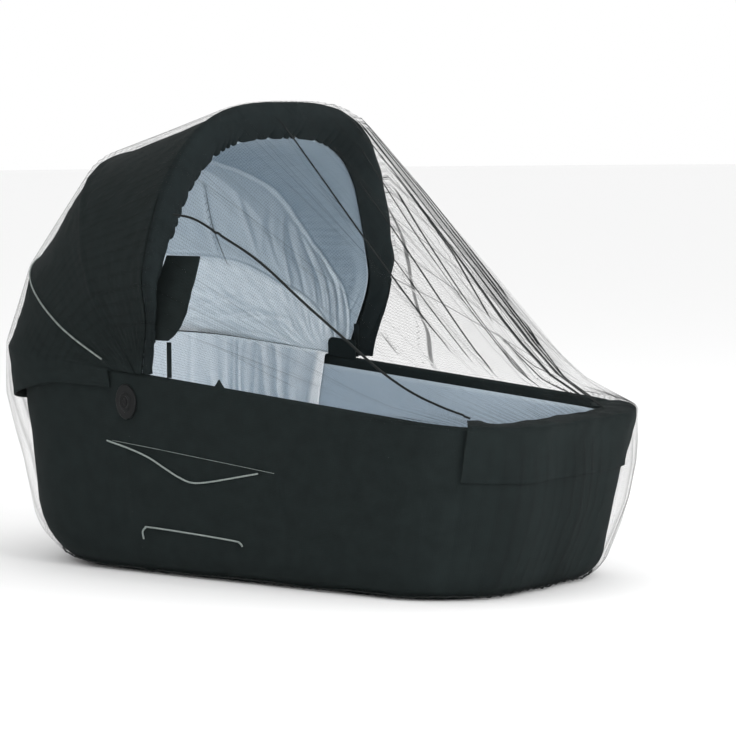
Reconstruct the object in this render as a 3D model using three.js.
// A mosquito net fitted over the carrycot of a pram, with the carrycot it is drawn over.
// Millimetres, +Z up, +X to the foot end, -Y the near side. The origin is the middle of the flat base.
import * as THREE from "three";

// Driving dimensions of the carrycot. A plan is a rounded outline: head and foot are its corner radii.
const rimPlan = { length: 872, width: 430, head: 138, foot: 132, shift: 0 };
const basePlan = { length: 805, width: 406, head: 156, foot: 138, shift: -12 };
const rimHeight = { head: 304, foot: 225 };
const lowerEdge = { side: 34, head: 104 };
const tubWall = 12;
const tubFloor = 14;
const liningThick = 2.5;
const liningDrop = 15;
const clothGap = 0.6;

// The hood: a row for each bow, rear to front. x and z are its top on the centre line, footX is where
// its foot meets the rim, half is its greatest half width and squareness its exponent. The near foot
// stands back by nearBack.
const bows = [
  { x: -440, z: 432, footX: -178, half: 232, squareness: 2.4, nearBack: 0 },
  { x: -308, z: 576, footX: -148, half: 246, squareness: 2.5, nearBack: 0 },
  { x: -62, z: 640, footX: -104, half: 278, squareness: 3.1, nearBack: 32 },
];
const nearBackRise = 110;
const rearFootX = -196;
const rowsBetween = [2, 3, 3];
const hoodThick = 2.5;
const hoodOverhang = 20;
const hoodSkirt = { foot: 24, head: 84 };
const hoodFootOut = 4;
const hoodLiningIn = 11;
const hoodLiningLift = 3.9;
const hoodLiningAcross = 24;
const hoodLiningFootOut = 37;
const bandWidth = 52;
const bandForward = 13;
const bandFootShare = 0.9;
// inset is how far in from the front bow, forward how far ahead of it, farFoot more at the far foot.
const bandRows = [
  { inset: 0, forward: 3, farFoot: 0 },
  { inset: 2, forward: 11, farFoot: 18 },
  { inset: 14, forward: 17, farFoot: 20 },
  { inset: 32, forward: 14, farFoot: 10 },
  { inset: bandWidth, forward: 3, farFoot: 0 },
];

// The net: its cloth, how far it stands off the carrycot, and how far its hem turns in under the edge.
const netThick = 1.5;
const netOut = 11;
const netHemOut = 5.2;
const netAcross = 32;
const tentRows = 10;
// How far the net sags below a straight line, from the hood's mouth (0) to the foot end (1).
const netSag = [[0, 0], [0.25, 9], [0.5, 24], [0.7, 38], [0.8, 38], [0.9, 20], [1, 0]];
// How far the net hangs off the wall, from the rim (0) to the start of the lower edge (1).
const headBag = [[0, 20], [0.3, 24], [0.55, 14], [0.75, 4], [1, 0]];
const footBag = [[0, 0], [0.15, 7], [0.35, 14], [0.6, 15], [0.85, 6], [1, 0]];
const wallHeights = [0.12, 0.32, 0.55, 0.78, 1];
const hemRows = [
  { turn: 26, out: 4.2 },
  { turn: 50, out: 1.6 },
];
const wallFold = [[0, 0], [0.3, 5], [0.8, 9], [1.2, 3]];
const wallFolds = 17;
const hemFoldEnd = 1.2;
const tentFold = 9;
const tentFolds = 9;
const netLift = 3;
const cordRadius = 1.8;
const cordGap = 0.5;
const cordSteps = 40;
const cordPlaces = [
  { row: 0.3, column: 6.9 },
  { row: 0.9, column: 7.3 },
  { row: 1.7, column: 7.4 },
  { row: 2.9, column: 7.5 },
  { row: 4.2, column: 7.2 },
  { row: 5.6, column: 6.9 },
  { row: 7, column: 6.5 },
  { row: 9.6, column: 6.3 },
];

// The ruched edge of the hood's lining and the cover over the foot end. Their rows are pushed out
// from the wall's face and lifted above the rim; from and to are places on the rim.
const ruche = { headX: -136, lean: 0.2, columns: 40, pleat: 3, thick: 1.5 };
const rucheRows = [
  { out: -7, lift: 2.2 },
  { out: -17.7, lift: -3 },
  { out: -17.7, lift: -80 },
];
const apron = { from: 3.4, to: 6.6, columns: 24 };
const apronRows = [
  { out: 4.5, lift: -72 },
  { out: 4.5, lift: -36 },
  { out: 4.5, lift: -2 },
  { out: -3, lift: 4 },
  { out: -22, lift: 5 },
  { out: -52, lift: 3.5 },
];

// Small pieces. The near wing's front edge is [z, x], the piping on the wall is [x, z].
const wingEdge = [[325, -81], [332, -68], [345, -52], [365, -37], [385, -29], [405, -27.5], [440, -29]];
const wingThick = 2;
const wingGap = { forward: 3.5, inward: 1.2 };
const tab = { from: -138, to: -88, y: 203, thick: 2, lift: 1.7, tall: 24, corner: 10 };
const strap = { x: -91, y: 212, width: 8, thick: 1.6, bottom: 273.7, top: 322 };
const hinge = { x: -166, z: 238, radius: 18, thick: 4, bevel: 1.5, stretch: 1.35, gap: 1 };
const pipingRadius = 1.2;
const pipingGap = 0.6;
const pocketLine = [[-213, 182.5], [-168, 172.8], [-135, 163], [-108, 151], [-81, 139.7], [-56, 133.6], [-20, 137], [66, 153]];
const lowerLine = [[-159, 50], [-160, 60], [-154, 65.5], [-144, 67], [-60, 63.8], [20, 59.5], [33, 57], [38, 53]];

// Colours, roughness and metalness of the real materials.
const finish = {
  net: { color: 0x1c1e1e, roughness: 0.8, metalness: 0 },
  fabric: { color: 0x232a2a, roughness: 0.9, metalness: 0 },
  lining: { color: 0x9aa9b0, roughness: 0.9, metalness: 0 },
  ruched: { color: 0xb9c4c9, roughness: 0.9, metalness: 0 },
  piping: { color: 0xc9cdca, roughness: 0.5, metalness: 0 },
  plastic: { color: 0x161818, roughness: 0.5, metalness: 0 },
};

const clamp = (value) => Math.min(1, Math.max(0, value));
const lerp = (a, b, t) => a + (b - a) * t;
const smooth = (t) => clamp(t) ** 2 * (3 - 2 * clamp(t));
const radians = THREE.MathUtils.degToRad;
const insidePoint = new THREE.Vector3(-300, 0, 200);

// The value of a table of [place, value] rows at a place, straight between rows.
function along(table, place) {
  const last = table.length - 1;
  if (place >= table[last][0]) return table[last][1];
  const k = Math.max(1, table.findIndex((row) => row[0] > place));
  const [from, to] = [table[k - 1], table[k]];
  return lerp(from[1], to[1], clamp((place - from[0]) / (to[0] - from[0])));
}

function grow(plan, out) {
  return {
    length: plan.length + 2 * out,
    width: plan.width + 2 * out,
    head: plan.head + out,
    foot: plan.foot + out,
    shift: plan.shift,
  };
}

// Place q on an outline: 0 is the middle of the head end, 1 to 2 the near head corner, 2 to 3 the near
// side, 3 to 4 the near foot corner, 5 the middle of the foot end, and on to 10 along the far side.
function planPoint(q, plan) {
  const far = q > 5;
  const s = far ? 10 - q : q;
  const [left, right, half] = [-plan.length / 2, plan.length / 2, plan.width / 2];
  let x;
  let y;
  if (s <= 1) {
    x = left;
    y = -(half - plan.head) * s;
  } else if (s <= 2) {
    const turn = ((s - 1) * Math.PI) / 2;
    x = left + plan.head * (1 - Math.cos(turn));
    y = -(half - plan.head) - plan.head * Math.sin(turn);
  } else if (s <= 3) {
    x = lerp(left + plan.head, right - plan.foot, s - 2);
    y = -half;
  } else if (s <= 4) {
    const turn = ((s - 3) * Math.PI) / 2;
    x = right - plan.foot + plan.foot * Math.sin(turn);
    y = -(half - plan.foot) - plan.foot * Math.cos(turn);
  } else {
    x = right;
    y = -(half - plan.foot) * (5 - s);
  }
  return [x + plan.shift, far ? -y : y];
}

const rimZ = (x) => lerp(rimHeight.head, rimHeight.foot, (x + rimPlan.length / 2) / rimPlan.length);
const fromHead = (q) => Math.min(q, 10 - q);
const headness = (q) => smooth((2.3 - fromHead(q)) / 1.3);
const footness = (q) => smooth((fromHead(q) - 2.9) / 1.1);
const edgeRadius = (q) => lerp(lowerEdge.side, lowerEdge.head, headness(q));
const straightSide = rimPlan.length - rimPlan.head - rimPlan.foot;
const sideQ = (x) => 2 + (x + rimPlan.length / 2 - rimPlan.head) / straightSide;

// A point at height z on the wall, pushed out from its face. The plan goes straight from base to rim.
function bodyPoint(q, z, out) {
  const plan = {};
  const [nearX] = planPoint(q, rimPlan);
  const f = z / rimZ(nearX);
  for (const key of Object.keys(rimPlan)) plan[key] = lerp(basePlan[key], rimPlan[key], f);
  const [x, y] = planPoint(q, grow(plan, out));
  return new THREE.Vector3(x, y, z);
}

// A point on the wall from the rim (v 0) to the start of the lower edge (v 1), pushed out from its face.
function wallPoint(q, v, out) {
  const [x] = planPoint(q, rimPlan);
  return bodyPoint(q, lerp(rimZ(x), edgeRadius(q), v), out);
}

// A point on the rounded lower edge: 0 degrees is at its start, 90 on the flat base.
function edgePoint(q, degrees, out) {
  const radius = edgeRadius(q);
  const turn = radians(degrees);
  const z = radius - (radius + out) * Math.sin(turn);
  return bodyPoint(q, z, (radius + out) * Math.cos(turn) - radius);
}

// The places of a ring's columns, with a count for each of its five parts on a side.
function ringPlaces(counts) {
  const near = counts.flatMap((n, first) => Array.from({ length: n }, (_, k) => first + k / n));
  return [...near, 5, ...near.slice(1).reverse().map((q) => 10 - q)];
}

// A surface under construction: points, and triangles that face outward.
class Surface {
  points = [];
  faces = [];
  add(point) {
    this.points.push(point);
    return this.points.length - 1;
  }
  rows(rows) {
    return rows.map((row) => row.map((point) => this.add(point)));
  }
  // Joins neighbouring rows of vertex numbers with two triangles a cell.
  join(ids, closed) {
    for (let r = 1; r < ids.length; r++) {
      const count = ids[r].length;
      for (let c = closed ? 0 : 1; c < count; c++) {
        const before = (c - 1 + count) % count;
        const [a, b, d, e] = [ids[r - 1][before], ids[r - 1][c], ids[r][c], ids[r][before]];
        this.faces.push([a, b, d], [a, d, e]);
      }
    }
  }
  // Closes a ring of vertex numbers with a fan about its middle.
  fan(ring, turned) {
    const middle = new THREE.Vector3();
    ring.forEach((id) => middle.add(this.points[id]));
    const hub = this.add(middle.divideScalar(ring.length));
    ring.forEach((id, k) => {
      const next = ring[(k + 1) % ring.length];
      this.faces.push(turned ? [id, hub, next] : [id, next, hub]);
    });
  }
  normals() {
    const sums = this.points.map(() => new THREE.Vector3());
    for (const face of this.faces) {
      const [a, b, c] = face.map((id) => this.points[id]);
      const normal = b.clone().sub(a).cross(c.clone().sub(a));
      face.forEach((id) => sums[id].add(normal));
    }
    return sums.map((sum) => sum.normalize());
  }
  // Turns every face over if the faces look inward, as seen from a point inside the object.
  turnOutward() {
    let volume = 0;
    for (const face of this.faces) {
      const [a, b, c] = face.map((id) => this.points[id].clone().sub(insidePoint));
      volume += a.dot(b.cross(c));
    }
    if (volume < 0) this.faces = this.faces.map(([a, b, c]) => [a, c, b]);
  }
  // Pushes each point outward along its normal by amount(point number).
  push(amount) {
    this.turnOutward();
    this.normals().forEach((normal, id) => this.points[id].addScaledVector(normal, amount(id)));
  }
}

// A closed geometry of a surface's points and faces, turned outward if it came out inward.
function closedGeometry(points, faces) {
  let volume = 0;
  for (const [a, b, c] of faces) volume += points[a].dot(points[b].clone().cross(points[c]));
  const geometry = new THREE.BufferGeometry();
  const places = points.flatMap((point) => point.toArray());
  geometry.setAttribute("position", new THREE.Float32BufferAttribute(places, 3));
  geometry.setIndex(faces.flatMap(([a, b, c]) => (volume < 0 ? [a, c, b] : [a, b, c])));
  geometry.computeVertexNormals();
  return geometry;
}

// Cloth of a thickness: the surface, a copy pushed inward, and a strip along each open edge.
function cloth(surface, thickness) {
  surface.turnOutward();
  const { points, faces } = surface;
  const count = points.length;
  const normals = surface.normals();
  const inner = points.map((point, id) => point.clone().addScaledVector(normals[id], -thickness));
  const inward = faces.map(([a, b, c]) => [a + count, c + count, b + count]);
  const edges = new Set(faces.flatMap(([a, b, c]) => [a + "," + b, b + "," + c, c + "," + a]));
  const all = [...faces, ...inward];
  for (const edge of edges) {
    const [a, b] = edge.split(",").map(Number);
    if (!edges.has(b + "," + a)) all.push([b, a, a + count], [b, a + count, b + count]);
  }
  return closedGeometry([...points, ...inner], all);
}

// A rod of round section along points.
function rod(points, radius, sides, steps) {
  const section = new THREE.Shape();
  section.absarc(0, 0, radius, 0, 2 * Math.PI);
  const extrudePath = new THREE.CatmullRomCurve3(points);
  return new THREE.ExtrudeGeometry(section, { steps, curveSegments: sides / 2, extrudePath });
}

const part = new THREE.Group();

function addPiece(name, geometry, look) {
  const mesh = new THREE.Mesh(geometry, new THREE.MeshStandardMaterial(look));
  mesh.name = name;
  part.add(mesh);
  return mesh;
}

// The tub: a stiff shell with a flat floor, its rim rolled over.
function tub() {
  const places = ringPlaces([2, 6, 10, 6, 2]);
  const surface = new Surface();
  const ring = (point) => places.map(point);
  const rimRow = (out, drop) =>
    ring((q) => {
      const point = wallPoint(q, 0, out);
      point.z -= drop;
      return point;
    });
  const ids = surface.rows([
    ring((q) => edgePoint(q, 90, 0)),
    ring((q) => edgePoint(q, 60, 0)),
    ring((q) => edgePoint(q, 30, 0)),
    ring((q) => edgePoint(q, 0, 0)),
    rimRow(0, 5),
    rimRow(-4, 0),
    rimRow(-tubWall + 3, 0),
    rimRow(-tubWall, 5),
    ring((q) => edgePoint(q, 0, -tubWall)),
    ring((q) => edgePoint(q, 40, -tubWall)),
    ring((q) => bodyPoint(q, tubFloor, -edgeRadius(q))),
  ]);
  surface.join(ids, true);
  surface.fan(ids[0], true);
  surface.fan(ids[ids.length - 1], false);
  return closedGeometry(surface.points, surface.faces);
}

// The lining: a bag that follows the inside of the tub, from just below the rim to the floor.
function lining() {
  const places = ringPlaces([2, 6, 10, 6, 2]);
  const inside = -tubWall - clothGap;
  const surface = new Surface();
  const ids = surface.rows([
    places.map((q) => {
      const [x] = planPoint(q, rimPlan);
      return bodyPoint(q, rimZ(x) - liningDrop, inside);
    }),
    places.map((q) => edgePoint(q, 0, inside)),
    places.map((q) => edgePoint(q, 40, inside)),
    places.map((q) => bodyPoint(q, tubFloor + clothGap, -edgeRadius(q) - clothGap)),
  ]);
  surface.join(ids, true);
  surface.fan(ids[ids.length - 1], false);
  return cloth(surface, liningThick);
}

// Points spaced evenly along a line of [a, b, ...] points, by the length in a and b.
function evenly(pairs, count) {
  const lengths = [0];
  for (let k = 1; k < pairs.length; k++) {
    const [a, b] = [pairs[k - 1], pairs[k]];
    lengths.push(lengths[k - 1] + Math.hypot(b[0] - a[0], b[1] - a[1]));
  }
  const total = lengths[lengths.length - 1];
  return Array.from({ length: count + 1 }, (_, k) => {
    const place = (total * k) / count;
    return pairs[0].map((_, axis) => along(lengths.map((l, i) => [l, pairs[i][axis]]), place));
  });
}

// The outline of a bow from its near foot over its top to its far foot, as [rise, y]. It is a
// superellipse whose half width grows from the foot to its greatest value at 0.4 of the rise.
function bowOutline(rise, footHalf, half, squareness, count) {
  const steps = 160;
  const pairs = Array.from({ length: steps + 1 }, (_, k) => {
    const turn = (Math.PI * k) / steps;
    const up = Math.sin(turn) ** (2 / squareness);
    const wide = lerp(footHalf, half, smooth(up / 0.4));
    const side = Math.abs(Math.cos(turn)) ** (2 / squareness) * Math.sign(Math.cos(turn));
    return [rise * up, -wide * side];
  });
  return evenly(pairs, count);
}

// The near foot of the hood, along the rim round the head end to the far foot, as [x, y, place].
function rearLine(out, count) {
  const start = sideQ(rearFootX);
  const steps = 120;
  const pairs = Array.from({ length: steps + 1 }, (_, k) => {
    const place = start - (2 * start * k) / steps;
    const q = (place + 10) % 10;
    const [x, y] = planPoint(q, grow(rimPlan, out + hoodFootOut + hoodOverhang * headness(q)));
    return [x, y, place];
  });
  return evenly(pairs, count).map(([x, y, place]) => [x, y, (place + 10) % 10]);
}

function bowLine(bow, out, count) {
  const foot = new THREE.Vector3(bow.footX, 0, rimZ(bow.footX));
  const rise = new THREE.Vector3(bow.x, 0, bow.z).sub(foot);
  const length = rise.length() + out;
  rise.normalize();
  const footHalf = rimPlan.width / 2 + hoodFootOut + out;
  const outline = bowOutline(length, footHalf, bow.half + out, bow.squareness, count);
  return outline.map(([up, y]) => {
    const back = y < 0 ? bow.nearBack * (1 - smooth(up / nearBackRise)) : 0;
    const moved = new THREE.Vector3(-back, y, rimZ(-back) - rimZ(0));
    return moved.add(foot).addScaledVector(rise, up);
  });
}

// The rows of the hood from its rear edge to its front bow: the cloth is straight between bows.
function hoodRows(out, count) {
  const rear = rearLine(out, count).map(([x, y]) => new THREE.Vector3(x, y, rimZ(x)));
  const lines = [rear, ...bows.map((bow) => bowLine(bow, out, count))];
  const rows = [rear];
  rowsBetween.forEach((steps, k) => {
    for (let step = 1; step <= steps; step++) {
      rows.push(lines[k].map((point, c) => point.clone().lerp(lines[k + 1][c], step / steps)));
    }
  });
  return rows;
}

// The hood's cover, with a skirt that hangs below the rim round the head end.
function hood() {
  const surface = new Surface();
  const skirt = [1, 0.5].map((share) =>
    rearLine(0, netAcross).map(([, , q]) => {
      const drop = share * lerp(hoodSkirt.foot, hoodSkirt.head, headness(q));
      const [x] = planPoint(q, rimPlan);
      return bodyPoint(q, rimZ(x) - drop, hoodFootOut + hoodOverhang * headness(q));
    }),
  );
  surface.join(surface.rows([...skirt, ...hoodRows(0, netAcross)]), false);
  return cloth(surface, hoodThick);
}

function hoodLining() {
  const surface = new Surface();
  const rows = hoodRows(-hoodLiningIn, hoodLiningAcross).slice(0, -1);
  const front = bowLine(bows[bows.length - 1], liningThick - bandWidth, hoodLiningAcross);
  front.forEach((point, c) => (point.y += hoodLiningFootOut * footShare(c, hoodLiningAcross)));
  rows.push(front);
  rows.forEach((row) => row.forEach((point) => (point.z += hoodLiningLift)));
  surface.join(surface.rows(rows), false);
  return cloth(surface, liningThick);
}

// 1 at a bow line's far foot, -1 at its near foot and 0 from a quarter of the way up.
function footShare(column, across) {
  const toFoot = 1 - smooth((4 * Math.min(column, across - column)) / across);
  return toFoot * (column < across / 2 ? -1 : 1);
}

// How far out a point of the band is moved at its feet, where the band is narrower.
function bandWiden(inset, column) {
  return bandFootShare * inset * footShare(column, netAcross);
}

function hoodBand() {
  const front = bows[bows.length - 1];
  const surface = new Surface();
  const rows = bandRows.map(({ inset, forward, farFoot }) => {
    return bowLine(front, -inset, netAcross).map((point, c) => {
      const x = forward + farFoot * Math.max(0, footShare(c, netAcross));
      return point.add(new THREE.Vector3(x, bandWiden(inset, c), hoodThick + 2));
    });
  });
  surface.join(surface.rows(rows), false);
  return cloth(surface, hoodThick);
}

// The ruched lower edge of the hood's lining, tucked into the tub round the head end.
function liningRuche() {
  const surface = new Surface();
  const ids = surface.rows(
    rucheRows.map(({ out, lift }) => {
      const start = sideQ(ruche.headX + ruche.lean * lift);
      return Array.from({ length: ruche.columns + 1 }, (_, k) => {
        const q = (start - (2 * start * k) / ruche.columns + 10) % 10;
        const [x] = planPoint(q, rimPlan);
        return bodyPoint(q, rimZ(x) + lift, out - (k % 2) * ruche.pleat);
      });
    }),
  );
  surface.join(ids, false);
  return cloth(surface, ruche.thick);
}

// The cover over the foot end: down the outside, over the rim and in to an elastic edge.
function footApron() {
  const surface = new Surface();
  const ids = surface.rows(
    apronRows.map(({ out, lift }) =>
      Array.from({ length: apron.columns + 1 }, (_, k) => {
        const q = lerp(apron.from, apron.to, k / apron.columns);
        const [x] = planPoint(q, rimPlan);
        return bodyPoint(q, rimZ(x) + lift, out);
      }),
    ),
  );
  surface.join(ids, false);
  return cloth(surface, hoodThick);
}

// Uneven folds, from 0 in a trough to 1 on a ridge, over a run of 0 to 1.
function folds(run, count) {
  const wander = 0.6 * Math.sin(2 * Math.PI * 3 * run + 1) + 0.4 * Math.sin(2 * Math.PI * 5 * run + 2);
  const height = 0.75 + 0.25 * Math.sin(2 * Math.PI * 7 * run);
  return height * (0.5 + 0.5 * Math.sin(2 * Math.PI * count * run + wander)) ** 1.5;
}

// The net's top, from the hood's rear edge over the bows and then straight to the rim's foot end.
function netTop() {
  const rows = hoodRows(netOut - hoodFootOut, netAcross);
  const overBand = new THREE.Vector3(bandForward, 0, 0);
  rows.push(rows[rows.length - 1].map((point) => point.clone().add(overBand)));
  const front = rows[rows.length - 1];
  const footLine = evenly(
    Array.from({ length: 121 }, (_, k) => {
      const q = 3 + (4 * k) / 120;
      return [...planPoint(q, grow(rimPlan, netOut)), q];
    }),
    netAcross,
  ).map(([x, y]) => new THREE.Vector3(x, y, rimZ(x)));
  for (let row = 1; row <= tentRows; row++) {
    const t = row / tentRows;
    rows.push(
      front.map((point, c) => {
        const across = Math.sin((Math.PI * c) / netAcross);
        const made = point.clone().lerp(footLine[c], t);
        made.z -= along(netSag, t) * across;
        return made;
      }),
    );
  }
  rows.forEach((row) => row.forEach((point) => (point.z += netLift)));
  return rows;
}

// The place on the rim that lies nearest to a point, as seen from above.
function placeOf(point) {
  const steps = 1000;
  const plan = grow(rimPlan, netOut);
  let best = 0;
  let nearest = Infinity;
  for (let k = 0; k < steps; k++) {
    const q = (10 * k) / steps;
    const [x, y] = planPoint(q, plan);
    const distance = Math.hypot(x - point.x, y - point.y);
    if (distance < nearest) [nearest, best] = [distance, q];
  }
  return best;
}

// The net as one cloth: its top, then rows down the wall and in under the lower edge, with folds.
function net() {
  const surface = new Surface();
  const top = surface.rows(netTop());
  surface.join(top, false);
  const last = top.length - 1;
  const middle = netAcross / 2;
  const loop = [
    ...top[0].slice(0, middle + 1).reverse(),
    ...top.slice(1, last).map((row) => row[0]),
    ...top[last],
    ...top.slice(1, last).map((row) => row[netAcross]).reverse(),
    ...top[0].slice(middle + 1).reverse(),
  ];
  const places = loop.map((id) => placeOf(surface.points[id]));
  const wall = wallHeights.map((v) =>
    places.map((q) => {
      const hang = headness(q) * along(headBag, v) + footness(q) * along(footBag, v);
      return wallPoint(q, v, lerp(netOut, netHemOut, v) + hang);
    }),
  );
  const hem = hemRows.map(({ turn, out }) => places.map((q) => edgePoint(q, turn, out)));
  const ids = [loop, ...surface.rows([...wall, ...hem])];
  surface.join(ids, true);
  const amount = new Map();
  ids.slice(1).forEach((row, k) => {
    const hemRow = k + 1 - wallHeights.length;
    const v = hemRow > 0 ? lerp(1, hemFoldEnd, hemRow / hemRows.length) : wallHeights[k];
    row.forEach((id, c) => amount.set(id, along(wallFold, v) * folds(c / row.length, wallFolds)));
  });
  const hoodCount = top.length - tentRows;
  top.slice(hoodCount, last).forEach((row, k) => {
    const t = (k + 1) / tentRows;
    const grown = tentFold * Math.sin(Math.PI * t ** 1.4) ** 0.6;
    row.slice(1, -1).forEach((id, c) => {
      amount.set(id, grown * folds((c + 1) / netAcross, tentFolds));
    });
  });
  surface.push((id) => amount.get(id) ?? 0);
  const topPoints = top.map((row) => row.map((id) => surface.points[id]));
  return { geometry: cloth(surface, netThick), topPoints };
}

// The cord sewn across the net: places on the net's top, row from the band (0) to the foot (tentRows)
// and column from the near rim, joined by a smooth curve just outside the cloth.
function netCord(top) {
  const firstRow = top.length - 1 - tentRows;
  const places = cordPlaces.map(({ row, column }) => new THREE.Vector3(firstRow + row, column, 0));
  const curve = new THREE.CatmullRomCurve3(places);
  const points = curve.getSpacedPoints(cordSteps).map(({ x: row, y: column }) => {
    const [r, c] = [Math.floor(row), Math.floor(column)];
    const [a, b] = [r, r + 1].map((k) => top[k][c].clone().lerp(top[k][c + 1], column - c));
    const across = top[r][c + 1].clone().sub(top[r][c]);
    const out = b.clone().sub(a).cross(across).normalize();
    if (out.y > 0) out.negate();
    return a.lerp(b, row - r).addScaledVector(out, cordRadius + cordGap);
  });
  return rod(points, cordRadius, 8, cordSteps);
}

// The wing at the near side of the hood's mouth, a panel that reaches forward from the band's inner edge.
function hoodWing() {
  const edge = bowLine(bows[bows.length - 1], -bandWidth, netAcross).slice(0, netAcross / 2);
  edge.forEach((point, c) => (point.y += bandWiden(bandWidth, c)));
  const forward = bandRows[bandRows.length - 1].forward + wingGap.forward;
  const bandX = edge.map((point) => [point.z, point.x + forward]);
  const bandY = edge.map((point) => [point.z, point.y + wingGap.inward]);
  const surface = new Surface();
  const [bottom, top] = [wingEdge[0][0], wingEdge[wingEdge.length - 1][0]];
  const rows = Array.from({ length: 9 }, (_, k) => {
    const z = lerp(bottom, top, k / 8);
    return [0, 0.33, 0.67, 1].map((share) => {
      const x = lerp(along(bandX, z), along(wingEdge, z), share);
      return new THREE.Vector3(x, along(bandY, z), z);
    });
  });
  surface.join(surface.rows(rows), false);
  return cloth(surface, wingThick);
}

// The tab at the band's far foot, which stands on the rim with its rear top corner rounded off.
function hoodTab() {
  const { from, to, y, thick, lift, tall, corner } = tab;
  const [low, end] = [rimZ(from) + lift, rimZ(to) + lift];
  const outline = new THREE.Shape();
  outline.moveTo(from, low);
  outline.lineTo(to, end);
  outline.lineTo(to, end + tall);
  outline.lineTo(from + corner, low + tall);
  outline.quadraticCurveTo(from, low + tall, from, low + tall - corner);
  const geometry = new THREE.ExtrudeGeometry(outline, { depth: thick, bevelEnabled: false, curveSegments: 8 });
  return geometry.rotateX(Math.PI / 2).translate(0, y, 0);
}

// The strap that ties a side of the hood's band down to the rim.
function hoodStrap(side) {
  const { x, y, width, thick, bottom, top } = strap;
  return new THREE.BoxGeometry(width, thick, top - bottom).translate(x, side * y, (top + bottom) / 2);
}

// The hood's hinge plate on the outside of the tub, an oval with a bevelled edge.
function hoodHinge(side) {
  const { x, z, radius, thick, bevel, stretch, gap } = hinge;
  const plate = new THREE.CylinderGeometry(radius, radius - bevel, thick, 28);
  const lean = Math.atan2((rimPlan.width - basePlan.width) / 2, rimZ(x));
  plate.scale(1, 1, stretch);
  plate.rotateX(side > 0 ? -lean : Math.PI + lean);
  const wall = bodyPoint(sideQ(x), z, thick / 2 + gap);
  return plate.translate(x, side * Math.abs(wall.y), z);
}

// Reflective piping along the rearmost bow, from rim to rim.
function hoodPiping() {
  const line = bowLine(bows[0], pipingRadius + pipingGap, netAcross);
  return rod(line.slice(1, -1), pipingRadius, 6, 34);
}

// Reflective piping on the near wall, through places given as [x, z].
function wallPiping(places) {
  const points = places.map(([x, z]) => bodyPoint(sideQ(x), z, pipingRadius + pipingGap));
  return rod(points, pipingRadius, 6, 4 * (places.length - 1));
}

const netPiece = net();
addPiece("net", netPiece.geometry, finish.net);
addPiece("net_cord", netCord(netPiece.topPoints), finish.net);
addPiece("tub", tub(), finish.fabric);
addPiece("tub_lining", lining(), finish.lining);
addPiece("hood", hood(), finish.fabric);
addPiece("hood_lining", hoodLining(), finish.lining);
addPiece("hood_band", hoodBand(), finish.fabric);
addPiece("lining_ruche", liningRuche(), finish.ruched);
addPiece("foot_apron", footApron(), finish.fabric);
addPiece("hood_piping", hoodPiping(), finish.piping);
addPiece("pocket_piping", wallPiping(pocketLine), finish.piping);
addPiece("lower_piping", wallPiping(lowerLine), finish.piping);
addPiece("hood_wing_near", hoodWing(), finish.fabric);
addPiece("hood_tab_far", hoodTab(), finish.fabric);
for (const [name, side] of [["near", -1], ["far", 1]]) {
  addPiece("hood_strap_" + name, hoodStrap(side), finish.fabric);
  addPiece("hood_hinge_" + name, hoodHinge(side), finish.plastic);
}

export default part;
